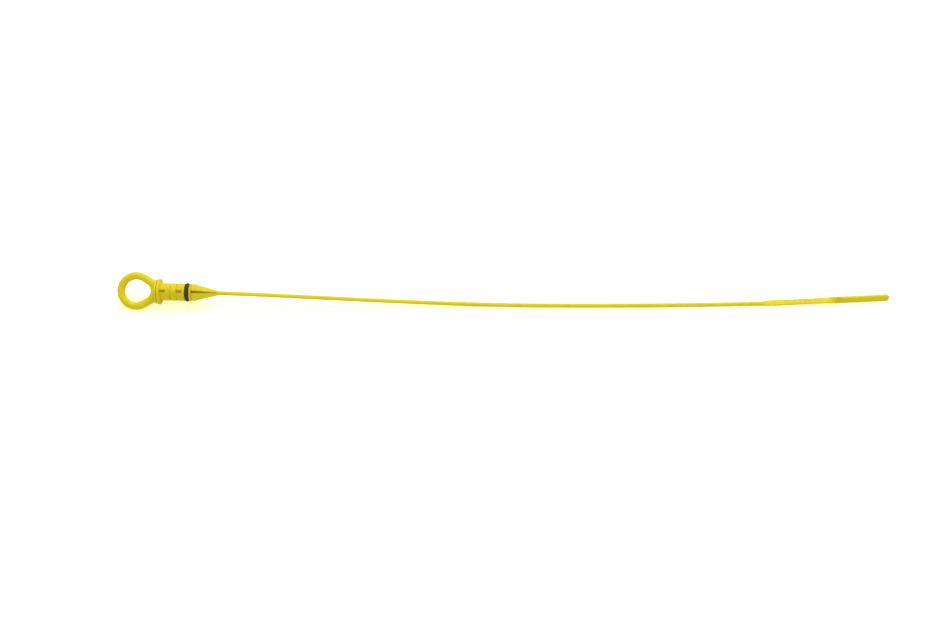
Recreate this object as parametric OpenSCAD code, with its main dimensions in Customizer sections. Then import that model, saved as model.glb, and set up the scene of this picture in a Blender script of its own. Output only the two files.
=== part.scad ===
// Engine oil dipstick: a plastic moulding with a finger ring, a collar, a sealed neck, a long thin rod and a
// twisted measuring blade, with a rubber sealing ring in the neck's groove.
// The origin is the centre of the collar's seat face. +X runs along the neck towards the blade and +Z is up.
// The part lies on the surface z = -collar_r, on its collar, the edge of its ring, its rod and its blade.

/* [Finger ring] */
// Distance from the collar's seat face back to the ring's centre
ring_back = 18.3; // [17.5:0.1:19.5]
// Radius of the ring's centre line
ring_r = 11; // [10.5:0.1:12]
// Radius of the ring's round section
ring_section_r = 2.8; // [2.4:0.1:3]
// Angle from the neck's axis at which the ring runs out into its two straight arms
arm_angle = 60; // [55:1:65]
// Distance from the collar's seat face back to the end of the finger hole
hole_end = 7.7; // [7.2:0.1:8.2]
// How much smaller the arms' section radius is than the ring's
arm_relief = 0.03; // [0.02:0.01:0.1]
// How much smaller the section radius of the bridge between the arms is than the arms'
bridge_relief = 0.07; // [0.03:0.01:0.3]

/* [Flange and collar] */
// Radius of the flange behind the collar
flange_r = 8.8; // [8:0.1:9.2]
// Thickness of the flange
flange_t = 1.4; // [1:0.1:1.6]
// Radius of the shoulder where it meets the flange
shoulder_r = 7.9; // [7:0.1:8]
// Radius of the shoulder at the finger hole
shoulder_nose_r = 2.9; // [2.5:0.1:3.5]
// Length of the shoulder
shoulder_len = 2.7; // [2:0.1:3]
// Width of the groove between the flange and the collar
flange_gap = 0.5; // [0.3:0.1:0.8]
// Depth of that groove below the flange
flange_gap_depth = 0.8; // [0.4:0.1:1.2]
// Radius of the collar, which also sets how high the neck lies
collar_r = 9.3; // [9.2:0.1:11]
// Thickness of the collar
collar_t = 1.9; // [1.5:0.1:2.5]
// Rounding of the collar's rim
collar_edge = 0.6; // [0.3:0.1:1]

/* [Neck] */
// Radius of the neck's bands
neck_r = 6.35; // [6.2:0.05:6.5]
// Length of the first band, from the collar's seat face
band_a = 7.1; // [6:0.1:8]
// Length of the second band
band_b = 3.9; // [2.5:0.1:5]
// Length of the third band with the lip behind the seal, up to the seal's groove
band_c = 5.2; // [4.5:0.1:7]
// Width of the narrow grooves between the bands
ring_groove_w = 0.9; // [0.6:0.1:1.4]
// Depth of the narrow grooves
ring_groove_depth = 0.9; // [0.3:0.1:1.2]
// Bevel on the edges of the bands and flanges
bevel = 0.2; // [0.1:0.05:0.3]
// Thickness of the lip behind the seal's groove, where the second slot ends
back_lip_t = 1.8; // [1:0.1:2.5]
// Thickness of the lip in front of the seal's groove
lip_t = 1.3; // [1.1:0.1:2.5]

/* [Seal] */
// Outer diameter of the sealing ring
seal_od = 13.1; // [12.9:0.1:13.3]
// Thickness of the sealing ring's round section
seal_cord_d = 2.8; // [2.4:0.1:3.2]
// Clearance between the sealing ring and the floor of its groove
seal_floor_gap = 0.05; // [0.02:0.01:0.15]
// Clearance on each side of the sealing ring in its groove
seal_side_gap = 0.15; // [0.1:0.05:0.4]

/* [Cored slots] */
// Width of the two straight slots in the neck
slot_w = 2; // [1.6:0.1:2.6]
// Depth of these two slots below the neck's bands
slot_depth = 2.4; // [1.5:0.1:4]
// Length of the slot in front of the collar
slot_a_len = 4.1; // [2:0.1:5]
// Thickness of the web left in the cone between the tapered slots of the two faces
web_t = 2.4; // [2:0.1:2.8]
// Width of the tapered slot at the lip, where it starts
cone_slot_w = 2.2; // [1.8:0.1:3]
// Width of the tapered slot at its narrow end
cone_slot_end_w = 0.6; // [0.4:0.1:1.2]
// Length of the tapered slot
cone_slot_len = 19; // [12:0.5:20]

/* [Cone] */
// Radius of the cone's wide end
cone_r = 6.15; // [5.6:0.05:6.15]
// Length of the cone's round land before it narrows
cone_land = 1.4; // [0.6:0.1:3]
// Half angle of the cone
cone_angle = 14.6; // [12:0.2:18]
// Radius of the hollow that carries the cone into the rod
cone_blend_r = 22; // [15:1:35]

/* [Rod] */
// Diameter of the rod
rod_d = 3; // [2.6:0.1:3.4]
// Length of the rod along the neck's axis, from the cone to the step
rod_len = 393; // [300:1:450]
// Height by which the cone's end stands proud of the rod
root_step = 0.06; // [0.04:0.01:0.1]
// Length over which the rod sags from the neck down to the surface
sag_len = 227; // [180:1:280]
// How steeply the rod goes down where it leaves the cone, in degrees
sag_start = 1.5; // [0:0.1:2]
// Direction of the rod in plan where it leaves the cone, in degrees
bow_start = 0.43; // [0:0.01:1]
// Direction of the blade's tip in plan, in degrees
bow_end = 5.8; // [0:0.1:8]

/* [Measuring blade] */
// Length of the step from the rod to the first blade
step_len = 5.6; // [3:0.1:8]
// Sideways offset of the blade from the rod
blade_offset = 0.3; // [0:0.05:0.5]
// Length of the first blade, which lies flat
blade_a_len = 41; // [30:1:60]
// Width of the first blade
blade_a_w = 4.5; // [3.6:0.1:5]
// Thickness of the first blade
blade_a_t = 1.3; // [1:0.1:2]
// Length of the twist
twist_len = 15.5; // [10:0.5:20]
// Angle of the twist, in degrees
twist_angle = 80; // [75:1:90]
// Length of the second blade, with its rounded tip
blade_b_len = 32.2; // [25:0.1:50]
// Width of the second blade after the twist
blade_b_w = 5; // [4:0.1:5.4]
// Width of the second blade before its rounded tip
blade_tip_w = 5.2; // [4.4:0.1:5.6]
// Thickness of the second blade
blade_b_t = 2; // [1.4:0.1:2.4]
// Rounding of the blade's long edges
blade_edge_r = 0.4; // [0.2:0.05:0.5]

/* [Hidden] */

// Smoothness of full rounds
$fn = 96;
// Points on each quarter of the rod's and blade's section
quarter_points = 6;
// Points on the arcs of the turned profile
arc_points = 6;
// How far the arms reach into the ring, and the rod into the cone
arm_lap = 0.6;
rod_lap = 1;

rod_r = rod_d / 2;
seal_cord_r = seal_cord_d / 2;
seal_mid_r = seal_od / 2 - seal_cord_r;
seal_floor_r = seal_mid_r - seal_cord_r - seal_floor_gap;

// Stations along the neck's axis, from the collar's seat face at 0
collar_x = -collar_t;
flange_x = collar_x - flange_gap - flange_t;
groove_a_x = band_a;
band_b_x = groove_a_x + ring_groove_w;
groove_b_x = band_b_x + band_b;
band_c_x = groove_b_x + ring_groove_w;
seal_x = band_c_x + band_c;
back_lip_x = seal_x - back_lip_t;
lip_x = seal_x + seal_cord_d + 2 * seal_side_gap;
lip_gap_x = lip_x + lip_t;
cone_x = lip_gap_x + ring_groove_w;
taper_x = cone_x + cone_land;
slot_floor = neck_r - slot_depth;
root_r = rod_r + root_step;
taper_drop = cone_r - root_r - cone_blend_r * (1 - cos(cone_angle));
root_x = taper_x + taper_drop / tan(cone_angle) + cone_blend_r * sin(cone_angle);

// Stations along the rod, from the cone's end at 0
blade_a_at = rod_len + step_len;
twist_at = blade_a_at + blade_a_len;
blade_b_at = twist_at + twist_len;
stick_len = blade_b_at + blade_b_len;
tip_len = blade_tip_w / 2;
tip_at = stick_len - tip_len;

// The ring leans until its edge meets the surface that the collar lies on
lean = asin((collar_r - ring_section_r) / ring_r);
arm_section_r = ring_section_r - arm_relief;
bridge_section_r = arm_section_r - bridge_relief;
// The bridge is an arc that meets both arms and ends the finger hole where it is asked to end
arm_fall = cos(arm_angle);
bridge_x = (bridge_section_r - hole_end - ring_r + ring_back * arm_fall) / (1 - arm_fall);
bridge_r = bridge_section_r - hole_end - bridge_x;

function smooth(u) = let (v = min(max(u, 0), 1)) v * v * (3 - 2 * v);
function steps(from, to, count) = [for (i = [0 : count - 1]) from + (to - from) * i / count];

// A raised band of the turned profile, with bevelled edges
function band(x0, x1, r, edge) = [[x0, r - edge], [x0 + edge, r], [x1 - edge, r], [x1, r - edge]];

// A raised band of the turned profile, with rounded edges
function round_band(x0, x1, r, edge) = concat(
    [for (i = [0 : arc_points]) let (a = 90 * i / arc_points)
        [x0 + edge * (1 - cos(a)), r - edge * (1 - sin(a))]],
    [for (i = [0 : arc_points]) let (a = 90 * i / arc_points)
        [x1 - edge * (1 - sin(a)), r - edge * (1 - cos(a))]]);

// The hollow arc that carries the cone into the rod
function cone_blend() = [for (i = [0 : arc_points])
    let (a = cone_angle * (1 - i / arc_points))
    [root_x - cone_blend_r * sin(a), root_r + cone_blend_r * (1 - cos(a))]];

// Flange, collar, neck, seal groove, lip and cone as one outline of stations and radii
function turned_outline() = concat(
    [[flange_x, 0]],
    band(flange_x, flange_x + flange_t, flange_r, bevel),
    [[flange_x + flange_t, flange_r - flange_gap_depth], [collar_x, flange_r - flange_gap_depth]],
    round_band(collar_x, 0, collar_r, collar_edge),
    [[0, neck_r], [groove_a_x - bevel, neck_r], [groove_a_x, neck_r - bevel]],
    [[groove_a_x, neck_r - ring_groove_depth], [band_b_x, neck_r - ring_groove_depth]],
    band(band_b_x, groove_b_x, neck_r, bevel),
    [[groove_b_x, neck_r - ring_groove_depth], [band_c_x, neck_r - ring_groove_depth]],
    band(band_c_x, seal_x, neck_r, bevel),
    [[seal_x, seal_floor_r], [lip_x, seal_floor_r]],
    band(lip_x, lip_gap_x, neck_r, bevel),
    [[lip_gap_x, neck_r - ring_groove_depth], [cone_x, neck_r - ring_groove_depth]],
    [[cone_x, cone_r - bevel], [cone_x + bevel, cone_r], [taper_x, cone_r]],
    cone_blend(),
    [[root_x, 0]]);

// Turns an outline of stations and radii about the neck's axis, with the seam between the slots' two faces
module turned(outline) {
    rotate([90, 0, 90])
        rotate_extrude()
            polygon([for (p = outline) [p[1], p[0]]]);
}

// An arc of round section in the ring's plane, between two angles from the neck's direction
module ring_arc(centre_x, radius, section_r, from, to) {
    translate([centre_x, 0, 0])
        rotate([0, 0, from])
            rotate_extrude(angle = to - from)
                translate([radius, 0])
                    circle(r = section_r);
}

// One of the two straight arms from the ring into the flange
module ring_arm(side) {
    arm_len = (flange_x + ring_back - ring_r * arm_fall) / sin(arm_angle) + bevel;
    translate([ring_r * arm_fall - ring_back, side * ring_r * sin(arm_angle), 0])
        rotate([0, 90, side * (arm_angle - 90)])
            translate([0, 0, -arm_lap])
                cylinder(r = arm_section_r, h = arm_lap + arm_len);
}

module finger_ring() {
    ring_arc(-ring_back, ring_r, ring_section_r, arm_angle, 360 - arm_angle);
    ring_arc(bridge_x, bridge_r, bridge_section_r, -arm_angle, arm_angle);
    for (side = [-1, 1])
        ring_arm(side);
    translate([flange_x - shoulder_len, 0, 0])
        rotate([0, 90, 0])
            cylinder(r1 = shoulder_nose_r, r2 = shoulder_r, h = shoulder_len + bevel);
}

// A slot cored from both faces down to a floor at a distance from the axis, straight or tapered
module cored_slot(x0, x1, w0, w1, floor_z) {
    for (face = [0, 180])
        rotate([face, 0, 0])
            translate([0, 0, floor_z])
                linear_extrude(height = collar_r)
                    polygon([[x0, -w0 / 2], [x1, -w1 / 2], [x1, w1 / 2], [x0, w0 / 2]]);
}

module handle() {
    finger_ring();
    difference() {
        turned(turned_outline());
        cored_slot(0, slot_a_len, slot_w, slot_w, slot_floor);
        cored_slot(groove_b_x, back_lip_x, slot_w, slot_w, slot_floor);
        cored_slot(lip_gap_x, lip_gap_x + cone_slot_len, cone_slot_w, cone_slot_end_w, web_t / 2);
    }
}

// Height of the second blade's centre line above the surface that its edge lies on, for its width there
function blade_height(w) = blade_edge_r + (w / 2 - blade_edge_r) * sin(twist_angle)
    + (blade_b_t / 2 - blade_edge_r) * cos(twist_angle);

// Height of the stick's centre line above the surface, at distance d from the cone
function stick_height(d) =
    d < sag_len ?
        collar_r + (rod_r - collar_r) * smooth(d / sag_len) - tan(sag_start) * d * pow(1 - d / sag_len, 2) :
    d < blade_b_at ?
        rod_r + (blade_height(blade_b_w) - rod_r) * smooth((d - rod_len) / (blade_b_at - rod_len)) :
    blade_height(blade_b_w) + (blade_height(blade_tip_w) - blade_height(blade_b_w))
        * min(1, (d - blade_b_at) / (tip_at - blade_b_at));

// Sideways bow of the stick's centre line: its direction grows with the square of the distance
function stick_bow(d) =
    d * tan(bow_start)
    + (tan(bow_end) - tan(bow_start)) * d * d * d / (3 * stick_len * stick_len)
    + blade_offset * smooth((d - rod_len) / step_len);

function stick_centre(d) = [root_x + d, stick_bow(d), stick_height(d) - collar_r];

// Direction of the stick's centre line
function stick_direction(d) = let (v = stick_centre(d + 0.5) - stick_centre(d - 0.5)) v / norm(v);

// Width, thickness, edge rounding and twist of the section at distance d
function tip_share(d) = d <= tip_at ? 1 : sqrt(max(0, 1 - pow((d - tip_at) / tip_len, 2)));
function section_w(d) = tip_share(d) * lookup(d, [
    [rod_len, rod_d], [blade_a_at, blade_a_w], [twist_at, blade_a_w],
    [blade_b_at, blade_b_w], [tip_at, blade_tip_w]]);
function section_t(d) = (0.6 + 0.4 * tip_share(d)) * lookup(d, [
    [rod_len, rod_d], [blade_a_at, blade_a_t], [twist_at, blade_a_t], [blade_b_at, blade_b_t]]);
function section_edge(d) = min(section_w(d) / 2, section_t(d) / 2,
    lookup(d, [[rod_len, rod_r], [blade_a_at, blade_edge_r]]));
function section_twist(d) = twist_angle * smooth((d - twist_at) / twist_len);

// The section's points: four rounded corners, which close up into a circle along the rod
function section_points(d) =
    let (t = stick_direction(d), side0 = cross([0, 0, 1], t), side = side0 / norm(side0),
        up = cross(t, side),
        e = section_edge(d), w = section_w(d) / 2 - e, h = section_t(d) / 2 - e,
        step = 90 / quarter_points, e_out = e / cos(step / 2), turn = section_twist(d))
    [for (q = [0 : 3], k = [0 : quarter_points - 1])
        let (a = 90 * q + step * (k + 0.5),
            u = (q == 0 || q == 3 ? w : -w) + e_out * cos(a),
            v = (q < 2 ? h : -h) + e_out * sin(a),
            y = u * cos(turn) - v * sin(turn),
            z = u * sin(turn) + v * cos(turn))
        stick_centre(d) + side * y + up * z];

// Rod, step, blades and tip as one skin through the sections
module stick() {
    stations = concat(
        [-rod_lap],
        steps(0, rod_len, 40),
        steps(rod_len, blade_a_at, 4),
        steps(blade_a_at, twist_at, 6),
        steps(twist_at, blade_b_at, 12),
        steps(blade_b_at, tip_at, 5),
        [for (a = [0, 18, 36, 54, 70, 82]) tip_at + tip_len * sin(a)]);
    rings = len(stations);
    points_each = 4 * quarter_points;
    polyhedron(
        points = [for (d = stations) each section_points(d)],
        faces = concat(
            [[for (i = [0 : points_each - 1]) i]],
            [for (r = [0 : rings - 2], i = [0 : points_each - 1])
                let (j = (i + 1) % points_each, a = r * points_each, b = a + points_each)
                each [[a + i, b + i, b + j], [a + i, b + j, a + j]]],
            [[for (i = [points_each - 1 : -1 : 0]) (rings - 1) * points_each + i]]),
        convexity = 6);
}

module dipstick_moulding() {
    color("gold")
        union() {
            rotate([lean, 0, 0])
                handle();
            stick();
        }
}

module seal_ring() {
    color("black")
        translate([seal_x + seal_side_gap + seal_cord_r, 0, 0])
            rotate([0, 90, 0])
                rotate_extrude()
                    translate([seal_mid_r, 0])
                        circle(r = seal_cord_r);
}

dipstick_moulding();
seal_ring();
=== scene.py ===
import math

import bmesh
import bpy
from mathutils import Matrix, Vector


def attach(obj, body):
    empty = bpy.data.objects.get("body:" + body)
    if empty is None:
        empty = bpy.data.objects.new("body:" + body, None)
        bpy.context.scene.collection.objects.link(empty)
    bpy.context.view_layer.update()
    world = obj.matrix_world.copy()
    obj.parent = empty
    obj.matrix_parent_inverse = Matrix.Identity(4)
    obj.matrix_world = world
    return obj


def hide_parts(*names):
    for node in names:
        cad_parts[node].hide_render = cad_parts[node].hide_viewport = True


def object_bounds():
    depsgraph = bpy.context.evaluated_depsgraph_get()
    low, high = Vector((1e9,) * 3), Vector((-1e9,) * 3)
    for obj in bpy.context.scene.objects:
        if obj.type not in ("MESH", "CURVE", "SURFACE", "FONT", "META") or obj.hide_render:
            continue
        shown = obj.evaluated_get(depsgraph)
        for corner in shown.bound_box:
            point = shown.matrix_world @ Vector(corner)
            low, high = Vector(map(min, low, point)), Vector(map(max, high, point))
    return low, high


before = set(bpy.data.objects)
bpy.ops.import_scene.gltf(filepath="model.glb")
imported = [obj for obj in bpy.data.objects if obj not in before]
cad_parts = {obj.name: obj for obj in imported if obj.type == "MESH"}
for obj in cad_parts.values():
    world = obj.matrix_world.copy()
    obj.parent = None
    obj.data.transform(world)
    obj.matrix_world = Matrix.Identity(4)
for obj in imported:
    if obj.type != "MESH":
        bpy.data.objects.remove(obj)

# Engine oil dipstick: a yellow moulding with finger ring, collar, neck, rod and blade, and a rubber seal.
# Sizes in the dictionaries are millimetres. Everything is built in metres in the frame of the solids:
# the origin is the centre of the collar's seat face, +X runs towards the blade and +Z is up.

mm = 0.001
body = "root"
cadLow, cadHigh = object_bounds()
floorHeight = cadLow.z
scene = bpy.context.scene
scene.view_settings.view_transform = "Standard"


# Small tools for meshes

def addObject(name, mesh):
    piece = bpy.data.objects.new(name, mesh)
    scene.collection.objects.link(piece)
    return piece


def bakeModifiers(piece):
    # turns what the modifiers make into the piece's own plain mesh
    graph = bpy.context.evaluated_depsgraph_get()
    mesh = bpy.data.meshes.new_from_object(piece.evaluated_get(graph), depsgraph=graph)
    old = piece.data
    piece.modifiers.clear()
    piece.data = mesh
    bpy.data.meshes.remove(old)


def cleanMesh(piece):
    # closes seams and poles, and turns all faces outwards
    work = bmesh.new()
    work.from_mesh(piece.data)
    bmesh.ops.remove_doubles(work, verts=work.verts, dist=0.0005 * mm)
    bmesh.ops.dissolve_degenerate(work, edges=work.edges, dist=0.0005 * mm)
    bmesh.ops.recalc_face_normals(work, faces=work.faces)
    work.to_mesh(piece.data)
    work.free()
    for face in piece.data.polygons:
        face.use_smooth = True


def arcPoints(centre, radius, fromAngle, toAngle, count):
    # points along an arc in degrees, both ends included
    angles = [math.radians(fromAngle + (toAngle - fromAngle) * i / count) for i in range(count + 1)]
    return [(centre[0] + radius * math.cos(a), centre[1] + radius * math.sin(a)) for a in angles]


def latheMesh(name, outline, segments):
    # turns an outline of (station, radius) points about the X axis; it starts and ends on the axis
    work = bmesh.new()
    rings = []
    for station, radius in outline:
        if radius == 0:
            rings.append([work.verts.new((station * mm, 0, 0))])
            continue
        turns = [2 * math.pi * i / segments for i in range(segments)]
        rings.append([work.verts.new((station * mm, radius * mm * math.cos(a), radius * mm * math.sin(a)))
                      for a in turns])
    for near, far in zip(rings, rings[1:]):
        for i in range(segments):
            j = (i + 1) % segments
            corners = [near[i % len(near)], near[j % len(near)], far[j % len(far)], far[i % len(far)]]
            work.faces.new(list(dict.fromkeys(corners)))
    mesh = bpy.data.meshes.new(name)
    bmesh.ops.recalc_face_normals(work, faces=work.faces)
    work.to_mesh(mesh)
    work.free()
    return mesh


def joinMeshes(name, meshes):
    # one mesh of several shells, which the voxels then melt into one skin
    work = bmesh.new()
    for mesh in meshes:
        work.from_mesh(mesh)
        bpy.data.meshes.remove(mesh)
    joined = bpy.data.meshes.new(name)
    work.to_mesh(joined)
    work.free()
    return joined


def meltShells(piece, voxel, passes):
    # melts overlapping shells into one skin and softens its edges as a mould does
    melt = piece.modifiers.new("melt", "REMESH")
    melt.mode = "VOXEL"
    melt.voxel_size = voxel * mm
    soften = piece.modifiers.new("soften", "SMOOTH")
    soften.factor = 0.5
    soften.iterations = passes
    bakeModifiers(piece)


# Small tools for node trees

class Field:
    # a socket that can stand in a formula

    def __init__(self, tree, socket):
        self.tree = tree
        self.socket = socket

    def __add__(self, other):
        return formula(self.tree, "ADD", self, other)

    def __sub__(self, other):
        return formula(self.tree, "SUBTRACT", self, other)

    def __mul__(self, other):
        return formula(self.tree, "MULTIPLY", self, other)

    def __truediv__(self, other):
        return formula(self.tree, "DIVIDE", self, other)

    def __neg__(self):
        return formula(self.tree, "MULTIPLY", self, -1)


def plug(tree, socket, value):
    if isinstance(value, Field):
        tree.links.new(value.socket, socket)
    elif isinstance(value, bpy.types.NodeSocket):
        tree.links.new(value, socket)
    else:
        socket.default_value = value


def formula(tree, operation, *values):
    node = tree.nodes.new("ShaderNodeMath")
    node.operation = operation
    for socket, value in zip(node.inputs, values):
        plug(tree, socket, value)
    return Field(tree, node.outputs[0])


def between(tree, value, start, end, low, high, smooth=False):
    # low before start, high after end, straight or smooth between them
    node = tree.nodes.new("ShaderNodeMapRange")
    node.interpolation_type = "SMOOTHSTEP" if smooth else "LINEAR"
    for socket, number in zip(node.inputs, (value, start, end, low, high)):
        plug(tree, socket, number)
    return Field(tree, node.outputs[0])


def partsOf(tree, vector):
    # the X, Y and Z of a vector
    split = tree.nodes.new("ShaderNodeSeparateXYZ")
    tree.links.new(vector, split.inputs[0])
    return [Field(tree, socket) for socket in split.outputs]


def blendColours(tree, share, first, second):
    # the first colour where share is 0, the second where it is 1
    mix = tree.nodes.new("ShaderNodeMix")
    mix.data_type = "RGBA"
    mix.inputs["A"].default_value = (*first, 1)
    mix.inputs["B"].default_value = (*second, 1)
    plug(tree, mix.inputs["Factor"], share)
    return mix.outputs["Result"]


def newTree(name, sizes):
    # a geometry tree with one named number input for each size, a material input and a geometry output
    tree = bpy.data.node_groups.new(name, "GeometryNodeTree")
    tree.interface.new_socket("Geometry", in_out="INPUT", socket_type="NodeSocketGeometry")
    for size in sizes:
        tree.interface.new_socket(size, in_out="INPUT", socket_type="NodeSocketFloat")
    tree.interface.new_socket("material", in_out="INPUT", socket_type="NodeSocketMaterial")
    tree.interface.new_socket("Geometry", in_out="OUTPUT", socket_type="NodeSocketGeometry")
    entry = tree.nodes.new("NodeGroupInput")
    size = {name: Field(tree, entry.outputs[name]) for name in sizes}
    return tree, entry, size


def closeTree(tree, entry, geometry):
    realize = tree.nodes.new("GeometryNodeRealizeInstances")
    coat = tree.nodes.new("GeometryNodeSetMaterial")
    leave = tree.nodes.new("NodeGroupOutput")
    tree.links.new(geometry, realize.inputs[0])
    tree.links.new(realize.outputs[0], coat.inputs["Geometry"])
    tree.links.new(entry.outputs["material"], coat.inputs["Material"])
    tree.links.new(coat.outputs[0], leave.inputs[0])


def runTree(piece, tree, sizes, material):
    # runs the tree on the piece with these sizes and keeps the result as a plain mesh
    nodes = piece.modifiers.new(tree.name, "NODES")
    nodes.node_group = tree
    for socket in tree.interface.items_tree:
        if socket.in_out == "INPUT" and socket.name in sizes:
            nodes[socket.identifier] = float(sizes[socket.name])
        if socket.in_out == "INPUT" and socket.name == "material":
            nodes[socket.identifier] = material
    bakeModifiers(piece)
    cleanMesh(piece)


# Yellow moulded plastic: satin, slightly cloudy, with flow waves, a fine grain and a faint parting line

plasticLook = {
    "colour": (0.84, 0.725, 0.006),
    "cloud": (0.80, 0.655, 0.004),     # colour of the cloudy patches
    "cloudSize": 14,
    "cloudSpan": (0.35, 0.70),         # noise at which a patch starts and is full
    "roughness": (0.30, 0.44),         # polished and dull patches
    "waveSize": 2.6,
    "waveSpan": (0.3, 0.7),
    "waveDepth": 0.012,
    "grainSize": 0.16,
    "grainDepth": 0.0035,
    "partingWidth": 0.12,              # the mould's halves meet in the plane of the ring
    "partingDepth": 0.03,
    "ior": 1.49,
    "shine": 0.25,
    "glow": 0.5,                       # light that goes into the plastic and comes out again
    "glowRadius": (1.0, 0.75, 0.06),
    "glowDepth": 2.2,
}


def noiseAt(tree, coordinates, size, detail=3.0):
    noise = tree.nodes.new("ShaderNodeTexNoise")
    tree.links.new(coordinates, noise.inputs["Vector"])
    noise.inputs["Scale"].default_value = 1 / (size * mm)
    noise.inputs["Detail"].default_value = detail
    return Field(tree, noise.outputs["Fac"])


def bumpOn(tree, height, depth, below=None):
    bump = tree.nodes.new("ShaderNodeBump")
    bump.inputs["Strength"].default_value = 1
    bump.inputs["Distance"].default_value = depth * mm
    plug(tree, bump.inputs["Height"], height)
    if below:
        tree.links.new(below, bump.inputs["Normal"])
    return bump.outputs["Normal"]


def newMaterial(name):
    material = bpy.data.materials.new(name)
    material.use_nodes = True
    tree = material.node_tree
    shader = tree.nodes["Principled BSDF"]
    place = tree.nodes.new("ShaderNodeTexCoord").outputs["Object"]
    return material, tree, shader, place


def makePlastic(look):
    material, tree, shader, place = newMaterial("yellowPlastic")
    clouds = noiseAt(tree, place, look["cloudSize"])
    cloudy = between(tree, clouds, *look["cloudSpan"], 0, 1, smooth=True)
    plug(tree, shader.inputs["Base Color"], blendColours(tree, cloudy, look["colour"], look["cloud"]))

    waves = noiseAt(tree, place, look["waveSize"], detail=1)
    plug(tree, shader.inputs["Roughness"], between(tree, waves, *look["waveSpan"], *look["roughness"]))

    grain = noiseAt(tree, place, look["grainSize"], detail=2)
    turn = tree.nodes.new("ShaderNodeMapping")
    turn.inputs["Rotation"].default_value = (-handleLean, 0, 0)
    tree.links.new(place, turn.inputs["Vector"])
    off = formula(tree, "ABSOLUTE", partsOf(tree, turn.outputs["Vector"])[2])
    parting = between(tree, off, 0, look["partingWidth"] * mm, 1, 0, smooth=True)
    normal = bumpOn(tree, waves, look["waveDepth"])
    normal = bumpOn(tree, grain, look["grainDepth"], normal)
    normal = bumpOn(tree, parting, look["partingDepth"], normal)
    tree.links.new(normal, shader.inputs["Normal"])

    shader.inputs["IOR"].default_value = look["ior"]
    shader.inputs["Specular IOR Level"].default_value = look["shine"]
    shader.inputs["Subsurface Weight"].default_value = look["glow"]
    shader.inputs["Subsurface Radius"].default_value = look["glowRadius"]
    shader.inputs["Subsurface Scale"].default_value = look["glowDepth"] * mm
    return material


# Black rubber: matt with a thin oily sheen, a fine skin and a moulding seam round the outside

rubberLook = {
    "colour": (0.042, 0.033, 0.007),
    "dust": (0.075, 0.060, 0.013),
    "dustSize": 1.1,
    "dustSpan": (0.50, 0.75),          # noise at which the dust starts and is full
    "roughness": (0.38, 0.58),
    "roughSpan": (0.3, 0.7),
    "grainSize": 0.09,
    "grainDepth": 0.006,
    "seamWidth": 0.08,
    "seamDepth": 0.03,
    "ior": 1.5,
    "shine": 0.3,
}


def makeRubber(look, seamStation):
    material, tree, shader, place = newMaterial("blackRubber")
    dust = noiseAt(tree, place, look["dustSize"])
    dusty = between(tree, dust, *look["dustSpan"], 0, 1, smooth=True)
    plug(tree, shader.inputs["Base Color"], blendColours(tree, dusty, look["colour"], look["dust"]))
    plug(tree, shader.inputs["Roughness"], between(tree, dust, *look["roughSpan"], *look["roughness"]))

    grain = noiseAt(tree, place, look["grainSize"], detail=2)
    off = formula(tree, "ABSOLUTE", partsOf(tree, place)[0] - seamStation * mm)
    seam = between(tree, off, 0, look["seamWidth"] * mm, 1, 0, smooth=True)
    normal = bumpOn(tree, grain, look["grainDepth"])
    normal = bumpOn(tree, seam, look["seamDepth"], normal)
    tree.links.new(normal, shader.inputs["Normal"])
    shader.inputs["IOR"].default_value = look["ior"]
    shader.inputs["Specular IOR Level"].default_value = look["shine"]
    return material


# Finger ring: a closed loop of ring, two arms and a bridge, with the shoulder and the flange

ringSizes = {
    "centreBack": 18.3,       # from the collar's seat face back to the ring's centre
    "radius": 11,             # centre line of the ring
    "section": 2.8,           # radius of the round section
    "armAngle": 60,           # where the ring runs out into the straight arms
    "holeEnd": 7.7,           # from the seat face back to the end of the finger hole
    "bridgeSection": 2.7,
    "noseRadius": 2.9,        # shoulder at the finger hole
    "shoulderRadius": 7.9,
    "shoulderLength": 2.7,
    "flangeBack": -3.8,
    "flangeFront": -2.4,
    "flangeRadius": 8.8,
    "flangeEdge": 0.25,
    "sides": 64,              # round the loop's section
    "ringSteps": 96,
    "bridgeSteps": 40,
    "turnSteps": 192,
    "armOverlap": 0.2,        # how far the arms run into the flange
    "voxel": 0.155,
    "softPasses": 4,
    "filletPasses": 90,       # more passes make wider fillets between arms and shoulder
    "filletReach": 5,         # the fillets start this far behind the shoulder's nose
    "filletFadeIn": 3,
    "filletStop": 0.1,        # and end this far before the flange
    "filletFadeOut": 0.5,
}
collarRadius = 9.3
handleLean = math.asin((collarRadius - ringSizes["section"]) / ringSizes["radius"])

tubeInputs = ["radius", "sides"]


def makeTubeTree():
    # a round tube along the edges of the piece's own mesh
    tree, entry, size = newTree("tubeAlongPath", tubeInputs)
    path = tree.nodes.new("GeometryNodeMeshToCurve")
    section = tree.nodes.new("GeometryNodeCurvePrimitiveCircle")
    sweep = tree.nodes.new("GeometryNodeCurveToMesh")
    scaled = size["radius"] * mm
    sides = tree.nodes.new("FunctionNodeFloatToInt")
    tree.links.new(entry.outputs["Geometry"], path.inputs["Mesh"])
    plug(tree, section.inputs["Radius"], scaled)
    plug(tree, sides.inputs[0], size["sides"])
    tree.links.new(sides.outputs[0], section.inputs["Resolution"])
    tree.links.new(path.outputs["Curve"], sweep.inputs["Curve"])
    tree.links.new(section.outputs["Curve"], sweep.inputs["Profile Curve"])
    sweep.inputs["Fill Caps"].default_value = True
    closeTree(tree, entry, sweep.outputs["Mesh"])
    return tree


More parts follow.
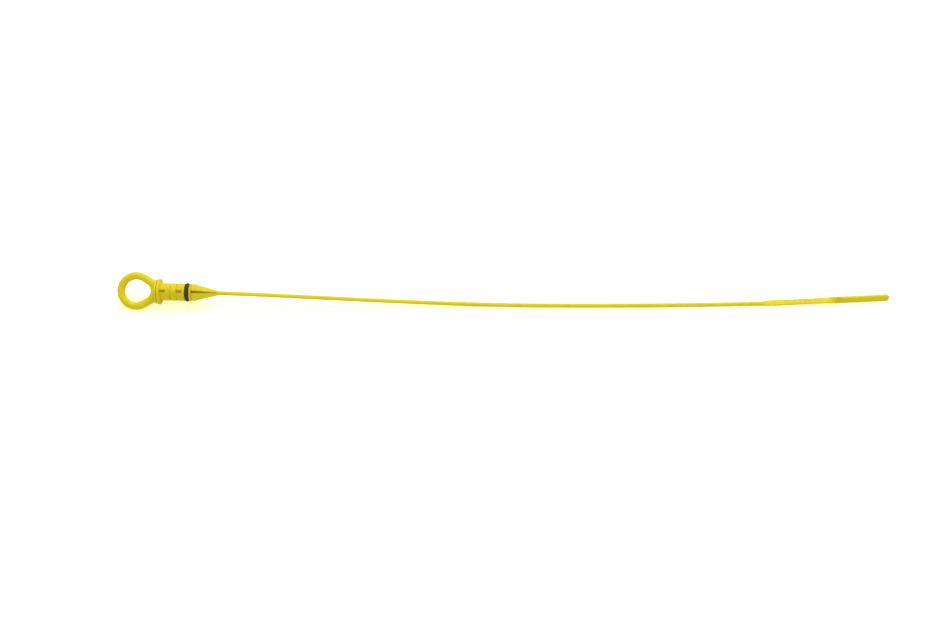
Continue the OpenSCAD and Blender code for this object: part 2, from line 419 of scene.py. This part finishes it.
def makeTube(name, points, closed, radius, sides, material):
    # points are millimetres in the piece's own frame
    count = len(points)
    edges = [(i, (i + 1) % count) for i in range(count if closed else count - 1)]
    mesh = bpy.data.meshes.new(name)
    mesh.from_pydata([Vector(p) * mm for p in points], edges, [])
    piece = addObject(name, mesh)
    runTree(piece, tubeTree, {"radius": radius, "sides": sides}, material)
    return piece


def takeMesh(piece):
    mesh = piece.data
    bpy.data.objects.remove(piece)
    return mesh


def makeFingerRing(size, material):
    back, radius, armAngle = size["centreBack"], size["radius"], size["armAngle"]
    fall = math.cos(math.radians(armAngle))
    rise = math.sin(math.radians(armAngle))
    reach = size["bridgeSection"] - size["holeEnd"]
    bridgeX = (reach - radius + back * fall) / (1 - fall)
    bridgeRadius = reach - bridgeX
    ring = arcPoints((-back, 0), radius, armAngle, 360 - armAngle, size["ringSteps"])
    bridge = arcPoints((bridgeX, 0), bridgeRadius, -armAngle, armAngle, size["bridgeSteps"])
    loop = [(x, y, 0) for x, y in ring + bridge]
    meshes = [takeMesh(makeTube("loop", loop, True, size["section"], size["sides"], material))]
    armEnd = size["flangeBack"] + size["armOverlap"]
    for side in (-1, 1):
        start = (radius * fall - back, side * radius * rise, 0)
        end = (armEnd, start[1] - side * (armEnd - start[0]) * fall / rise, 0)
        arm = makeTube("arm", [start, end], False, size["section"], size["sides"], material)
        meshes.append(takeMesh(arm))
    noseX = size["flangeBack"] - size["shoulderLength"]
    edge = size["flangeEdge"]
    shoulder = [
        (noseX, 0),
        (noseX, size["noseRadius"]),
        (size["flangeBack"], size["shoulderRadius"]),
        (size["flangeBack"], size["flangeRadius"] - edge),
        (size["flangeBack"] + edge, size["flangeRadius"]),
        (size["flangeFront"] - edge, size["flangeRadius"]),
        (size["flangeFront"], size["flangeRadius"] - edge),
        (size["flangeFront"], 0),
    ]
    meshes.append(latheMesh("shoulder", shoulder, size["turnSteps"]))
    piece = addObject("fingerRing", joinMeshes("fingerRing", meshes))
    meltShells(piece, size["voxel"], size["softPasses"])

    # the fillets between arms and shoulder come from extra smoothing there
    fillet = piece.vertex_groups.new(name="fillet")
    for corner in piece.data.vertices:
        x = corner.co.x / mm
        fromArms = (x - noseX + size["filletReach"]) / size["filletFadeIn"]
        toFlange = (size["flangeBack"] - size["filletStop"] - x) / size["filletFadeOut"]
        share = min(max(fromArms, 0), 1) * min(max(toFlange, 0), 1)
        if share > 0:
            fillet.add([corner.index], share, "REPLACE")
    smooth = piece.modifiers.new("fillets", "SMOOTH")
    smooth.vertex_group = "fillet"
    smooth.factor = 0.5
    smooth.iterations = size["filletPasses"]
    bakeModifiers(piece)
    piece.vertex_groups.clear()
    piece.data.transform(Matrix.Rotation(handleLean, 4, "X"))
    return piece


# Collar, neck and cone: one turned form with slots cored from both faces

neckSizes = {
    "start": -3.3,            # inside the flange
    "gapFloor": 8,            # radius of the groove between flange and collar
    "collarBack": -1.9,
    "collarEdge": 0.6,
    "radius": 6.35,
    "bevel": 0.2,
    "grooveFloor": 5.45,
    "grooves": [(7.1, 8), (11.9, 12.8), (22.4, 23.3)],
    "sealGroove": (18, 21.1),
    "sealFloor": 3.7,
    "coneRadius": 6.15,
    "taperStart": 24.7,
    "taperAngle": 14.6,
    "blendRadius": 22,
    "rootRadius": 1.515,
    "stubLength": 2,          # of rod, where the stick comes out
    "slots": [                # from, to, width at both ends, floor's distance from the axis
        (-0.02, 4.1, 2.0, 2.0, 3.95),
        (11.9, 16.2, 2.0, 2.0, 3.95),
        (22.4, 41.4, 2.2, 0.6, 1.2),
    ],
    "turnSteps": 240,
    "edgeSteps": 8,
    "blendSteps": 12,
    "voxel": 0.185,
    "softPasses": 2,
}
slotTop = collarRadius * 1.2  # the slots are cut from beyond the collar


def raisedBand(fromX, toX, radius, edge):
    return [(fromX, radius - edge), (fromX + edge, radius), (toX - edge, radius), (toX, radius - edge)]


def neckOutline(size):
    radius, bevel, floor, edge = size["radius"], size["bevel"], size["grooveFloor"], size["collarEdge"]
    angle = size["taperAngle"]
    slope = math.radians(angle)
    drop = size["coneRadius"] - size["rootRadius"] - size["blendRadius"] * (1 - math.cos(slope))
    root = size["taperStart"] + drop / math.tan(slope) + size["blendRadius"] * math.sin(slope)
    firstGroove, secondGroove, thirdGroove = size["grooves"]
    sealFrom, sealTo = size["sealGroove"]
    outline = [(size["start"], 0), (size["start"], size["gapFloor"]), (size["collarBack"], size["gapFloor"])]
    outline += arcPoints((size["collarBack"] + edge, collarRadius - edge), edge, 180, 90, size["edgeSteps"])
    outline += arcPoints((-edge, collarRadius - edge), edge, 90, 0, size["edgeSteps"])
    outline += [(0, radius), (firstGroove[0] - bevel, radius), (firstGroove[0], radius - bevel)]
    outline += [(firstGroove[0], floor), (firstGroove[1], floor)]
    outline += raisedBand(firstGroove[1], secondGroove[0], radius, bevel)
    outline += [(secondGroove[0], floor), (secondGroove[1], floor)]
    outline += raisedBand(secondGroove[1], sealFrom, radius, bevel)
    outline += [(sealFrom, size["sealFloor"]), (sealTo, size["sealFloor"])]
    outline += raisedBand(sealTo, thirdGroove[0], radius, bevel)
    outline += [(thirdGroove[0], floor), (thirdGroove[1], floor)]
    outline += [(thirdGroove[1], size["coneRadius"] - bevel), (thirdGroove[1] + bevel, size["coneRadius"])]
    outline += [(size["taperStart"], size["coneRadius"])]
    outline += arcPoints((root, size["rootRadius"] + size["blendRadius"]), size["blendRadius"],
                         270 - angle, 270, size["blendSteps"])
    outline += [(root + size["stubLength"], size["rootRadius"]), (root + size["stubLength"], 0)]
    return outline


def slotCutter(fromX, toX, fromWidth, toWidth, floor, side):
    # a straight-sided block that reaches from the slot's floor out past the collar
    low, high = side * floor, side * slotTop
    plan = ((fromX, -fromWidth / 2), (toX, -toWidth / 2), (toX, toWidth / 2), (fromX, fromWidth / 2))
    corners = [(x, y, z) for z in (low, high) for x, y in plan]
    faces = [(0, 1, 2, 3), (7, 6, 5, 4)] + [(i, i + 4, (i + 1) % 4 + 4, (i + 1) % 4) for i in range(4)]
    mesh = bpy.data.meshes.new("slot")
    mesh.from_pydata([Vector(c) * mm for c in corners], [], faces)
    return mesh


def makeNeck(size):
    piece = addObject("sealedNeck", latheMesh("sealedNeck", neckOutline(size), size["turnSteps"]))
    cutters = [slotCutter(*slot, side) for slot in size["slots"] for side in (-1, 1)]
    cutter = addObject("slotCutters", joinMeshes("slotCutters", cutters))
    cleanMesh(cutter)
    cut = piece.modifiers.new("slots", "BOOLEAN")
    cut.operation = "DIFFERENCE"
    cut.solver = "EXACT"
    cut.object = cutter
    bakeModifiers(piece)
    bpy.data.objects.remove(cutter)
    meltShells(piece, size["voxel"], size["softPasses"])
    piece.data.transform(Matrix.Rotation(handleLean, 4, "X"))
    return piece


# Stick: rod, step, flat blade, twist and upright blade as one skin that follows a rule

stickSizes = {
    "rootX": 45.14,           # where the cone ends and the rod starts
    "rodDiameter": 3,
    "rodLength": 393,
    "neckHeight": 9.3,        # of the neck's axis above the surface
    "sagLength": 227,         # over which the rod comes down to the surface
    "sagStart": math.tan(math.radians(1.5)),
    "bowStart": math.tan(math.radians(0.43)),
    "bowEnd": math.tan(math.radians(5.8)),
    "stepLength": 5.6,
    "sideOffset": 0.3,
    "flatLength": 41,
    "flatWidth": 4.5,
    "flatThickness": 1.3,
    "twistLength": 15.5,
    "twistAngle": math.radians(80),
    "uprightLength": 32.2,
    "uprightWidth": 5,
    "tipWidth": 5.2,
    "uprightThickness": 2,
    "edgeRadius": 0.4,
    "stations": 1000,
    "sectionPoints": 48,
}


def makeStickTree(sizes):
    tree, entry, size = newTree("stickSweep", sizes)
    count = tree.nodes.new("FunctionNodeFloatToInt")
    around = tree.nodes.new("FunctionNodeFloatToInt")
    plug(tree, count.inputs[0], size["stations"])
    plug(tree, around.inputs[0], size["sectionPoints"] + 1)
    grid = tree.nodes.new("GeometryNodeMeshGrid")
    tree.links.new(count.outputs[0], grid.inputs["Vertices X"])
    tree.links.new(around.outputs[0], grid.inputs["Vertices Y"])
    where = partsOf(tree, tree.nodes.new("GeometryNodeInputPosition").outputs[0])
    along = where[0] + 0.5
    halfStep = formula(tree, "DIVIDE", 0.5, size["sectionPoints"])
    turn = (where[1] + 0.5 + halfStep) * (2 * math.pi)

    # stations along the stick, closer together on the blade and at the tip
    rod, step, flat = size["rodLength"], size["stepLength"], size["flatLength"]
    flatAt = rod + step
    twistAt = flatAt + flat
    uprightAt = twistAt + size["twistLength"]
    total = uprightAt + size["uprightLength"]
    tipLength = size["tipWidth"] / 2
    tipAt = total - tipLength
    rodShare, bladeShare = 0.42, 0.92    # of the stations, up to the step and up to the rounded tip
    tipThin = 0.6                        # thickness left at the very tip
    tipTurn = between(tree, along, bladeShare, 1, 0, math.pi / 2)
    d = (between(tree, along, 0, rodShare, -1, rod)
         + between(tree, along, rodShare, bladeShare, 0, tipAt - rod)
         + formula(tree, "SINE", tipTurn) * tipLength)
    tipRound = formula(tree, "COSINE", tipTurn)

    # size of the section
    diameter = size["rodDiameter"]
    width = (diameter
             + between(tree, d, rod, flatAt, 0, size["flatWidth"] - diameter)
             + between(tree, d, twistAt, uprightAt, 0, size["uprightWidth"] - size["flatWidth"])
             + between(tree, d, uprightAt, tipAt, 0, size["tipWidth"] - size["uprightWidth"])) * tipRound
    thick = (diameter
             + between(tree, d, rod, flatAt, 0, size["flatThickness"] - diameter)
             + between(tree, d, twistAt, uprightAt, 0, size["uprightThickness"] - size["flatThickness"])
             ) * (tipRound * (1 - tipThin) + tipThin)
    edge = formula(tree, "MINIMUM", formula(tree, "MINIMUM", width, thick) / 2,
                   between(tree, d, rod, flatAt, diameter / 2, size["edgeRadius"]))
    cosTurn, sinTurn = formula(tree, "COSINE", turn), formula(tree, "SINE", turn)
    started = formula(tree, "MINIMUM", along * size["stations"], 1)
    across = (formula(tree, "SIGN", cosTurn) * (width / 2 - edge) + edge * cosTurn) * started
    above = (formula(tree, "SIGN", sinTurn) * (thick / 2 - edge) + edge * sinTurn) * started
    twist = between(tree, d, twistAt, uprightAt, 0, size["twistAngle"], smooth=True)
    cosTwist, sinTwist = formula(tree, "COSINE", twist), formula(tree, "SINE", twist)
    side = across * cosTwist - above * sinTwist
    up = across * sinTwist + above * cosTwist

    # centre line: it sags to the surface, bows sideways and rises where the blade stands up
    rodRadius, low = diameter / 2, size["neckHeight"]
    bowGrowth = size["bowEnd"] - size["bowStart"]
    centreY = (d * size["bowStart"] + bowGrowth * d * d * d / (total * total * 3)
               + between(tree, d, rod, flatAt, 0, size["sideOffset"], smooth=True))
    sinLean, cosLean = formula(tree, "SINE", size["twistAngle"]), formula(tree, "COSINE", size["twistAngle"])
    rounding = size["edgeRadius"]
    uprightHeight = (rounding + (size["uprightWidth"] / 2 - rounding) * sinLean
                     + (size["uprightThickness"] / 2 - rounding) * cosLean)
    tipRise = (size["tipWidth"] - size["uprightWidth"]) * sinLean / 2
    sag = between(tree, d, 0, size["sagLength"], 0, 1)
    sagLeft = -sag + 1
    centreZ = (between(tree, d, 0, size["sagLength"], 0, rodRadius - low, smooth=True)
               - size["sagStart"] * size["sagLength"] * sag * sagLeft * sagLeft
               + between(tree, d, rod, uprightAt, 0, uprightHeight - rodRadius, smooth=True)
               + between(tree, d, uprightAt, tipAt, 0, tipRise))
    slopeY = size["bowStart"] + bowGrowth * d * d / (total * total)
    slopeZ = ((rodRadius - low) * sag * sagLeft * 6 / size["sagLength"]
              - size["sagStart"] * sagLeft * (sag * -3 + 1))

    point = tree.nodes.new("ShaderNodeCombineXYZ")
    plug(tree, point.inputs["X"], (size["rootX"] + d - slopeY * side - slopeZ * up) * mm)
    plug(tree, point.inputs["Y"], (centreY + side) * mm)
    plug(tree, point.inputs["Z"], (centreZ + up) * mm)
    place = tree.nodes.new("GeometryNodeSetPosition")
    tree.links.new(grid.outputs["Mesh"], place.inputs["Geometry"])
    tree.links.new(point.outputs[0], place.inputs["Position"])
    closeTree(tree, entry, place.outputs["Geometry"])
    return tree


def makeStick(sizes, material):
    piece = addObject("measuringStick", bpy.data.meshes.new("measuringStick"))
    runTree(piece, makeStickTree(sizes), sizes, material)
    return piece


# Seal: a round rubber ring in the neck's groove

sealSizes = {
    "station": 19.5,
    "radius": 5.25,           # stretched, it stands prouder of the neck than the plain ring of the solids
    "section": 1.5,
    "around": 256,
    "sides": 48,
}


def makeSeal(size, material):
    circle = arcPoints((0, 0), size["radius"], 0, 360, size["around"])[:-1]
    points = [(size["station"], y, z) for y, z in circle]
    return makeTube("sealRing", points, True, size["section"], size["sides"], material)


plastic = makePlastic(plasticLook)
rubber = makeRubber(rubberLook, sealSizes["station"])
tubeTree = makeTubeTree()
print("materials made")

fingerRing = makeFingerRing(ringSizes, plastic)
print("finger ring:", len(fingerRing.data.polygons), "faces")
sealedNeck = makeNeck(neckSizes)
print("neck:", len(sealedNeck.data.polygons), "faces")
measuringStick = makeStick(stickSizes, plastic)
print("stick:", len(measuringStick.data.polygons), "faces")
sealRing = makeSeal(sealSizes, rubber)
print("seal:", len(sealRing.data.polygons), "faces")

for piece in (fingerRing, sealedNeck, measuringStick, sealRing):
    isSeal = piece is sealRing
    piece.data.materials.clear()
    piece.data.materials.append(rubber if isSeal else plastic)
    cleanMesh(piece)
    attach(piece, body)
    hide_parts("seal_ring" if isSeal else "dipstick_moulding")
print("pieces ride on", body)


# Floor: a white table that keeps the shadow; near the part a yellow cast is painted into that shadow,
# standing in for the light that the plastic throws on it

floorLook = {
    "halfSize": 3000,
    "colour": (0.90, 0.90, 0.90),
    "roughness": 0.9,
    "shine": 0.1,
    "cameraLiftPaintedYellow": (0.62, 0.57, 0.30),      # added for the camera alone: white table, and a painted pale yellow in its shadow near the part
    "farLift": (0.62, 0.62, 0.62),         # the lift away from the part: white, with no painted yellow
    "farFrom": 60,
    "farTo": 250,
}


def makeFloor(look):
    half = look["halfSize"] * mm
    mesh = bpy.data.meshes.new("table")
    mesh.from_pydata([(x * half, y * half, floorHeight) for x, y in ((-1, -1), (1, -1), (1, 1), (-1, 1))],
                     [], [(0, 1, 2, 3)])
    floor = addObject("table", mesh)
    material = bpy.data.materials.new("whiteTable")
    material.use_nodes = True
    tree = material.node_tree
    shader = tree.nodes["Principled BSDF"]
    shader.inputs["Base Color"].default_value = (*look["colour"], 1)
    shader.inputs["Roughness"].default_value = look["roughness"]
    shader.inputs["Specular IOR Level"].default_value = look["shine"]
    place = tree.nodes.new("ShaderNodeTexCoord").outputs["Object"]
    # near the part the camera lift is yellow, which paints a yellow cast into the table's shadow; it fades
    # to white farther out
    away = formula(tree, "ABSOLUTE", partsOf(tree, place)[1])
    far = between(tree, away, look["farFrom"] * mm, look["farTo"] * mm, 0, 1, smooth=True)
    plug(tree, shader.inputs["Emission Color"], blendColours(tree, far, look["cameraLiftPaintedYellow"], look["farLift"]))
    rays = tree.nodes.new("ShaderNodeLightPath")
    plug(tree, shader.inputs["Emission Strength"], rays.outputs["Is Camera Ray"])
    mesh.materials.append(material)


# Light: a white room, a wide soft lamp above and behind, and a weaker one in front

lightLook = {
    "room": 0.55,
    "lamps": [                 # place and aim in millimetres, width, depth, watts
        ((260, 520, 900), (230, 0, 0), 1200, 600, 6.0),
        ((100, -700, 900), (230, 0, 0), 900, 500, 1.2),
    ],
}


def makeLights(look):
    world = bpy.data.worlds.new("room")
    scene.world = world
    world.use_nodes = True
    background = world.node_tree.nodes["Background"]
    background.inputs["Color"].default_value = (1, 1, 1, 1)
    rays = world.node_tree.nodes.new("ShaderNodeLightPath")
    plug(world.node_tree, background.inputs["Strength"],
         between(world.node_tree, rays.outputs["Is Camera Ray"], 0, 1, look["room"], 1))
    for i, (place, aim, width, depth, power) in enumerate(look["lamps"]):
        lamp = bpy.data.lights.new(f"softbox{i + 1}", "AREA")
        lamp.shape = "RECTANGLE"
        lamp.size = width * mm
        lamp.size_y = depth * mm
        lamp.energy = power
        holder = addObject(lamp.name, lamp)
        holder.location = Vector(place) * mm
        holder.rotation_euler = (Vector(aim) - Vector(place)).to_track_quat("-Z", "Y").to_euler()


# Camera: looks down on the part, with the collar's seat at a known pixel and distance

shot = {
    "imageWidth": 949,
    "imageHeight": 632,
    "sensorWidth": 36,
    "clip": (0.01, 20),       # in metres
    "focalPixels": 1453.19,
    "elevation": 52,
    "yaw": -2.09,
    "seatPixel": (161.2, 291.49),
    "seatDepth": 1060.83,
}


def makeCamera(shot):
    down, yaw = math.radians(shot["elevation"]), math.radians(shot["yaw"])
    ahead = Vector((math.sin(yaw) * math.cos(down), math.cos(yaw) * math.cos(down), -math.sin(down)))
    right = Vector((math.cos(yaw), -math.sin(yaw), 0))
    up = right.cross(ahead)
    depth = shot["seatDepth"] * mm
    acrossPixels = shot["seatPixel"][0] - shot["imageWidth"] / 2
    upPixels = shot["imageHeight"] / 2 - shot["seatPixel"][1]
    place = -(right * acrossPixels + up * upPixels) * depth / shot["focalPixels"] - ahead * depth
    camera = bpy.data.cameras.new("camera")
    camera.sensor_width = shot["sensorWidth"]
    camera.lens = shot["focalPixels"] * camera.sensor_width / shot["imageWidth"]
    camera.clip_start, camera.clip_end = shot["clip"]
    holder = addObject("camera", camera)
    holder.matrix_world = Matrix.Translation(place) @ Matrix((right, up, -ahead)).transposed().to_4x4()
    scene.camera = holder


makeFloor(floorLook)
makeLights(lightLook)
makeCamera(shot)
print("floor, lights and camera made")
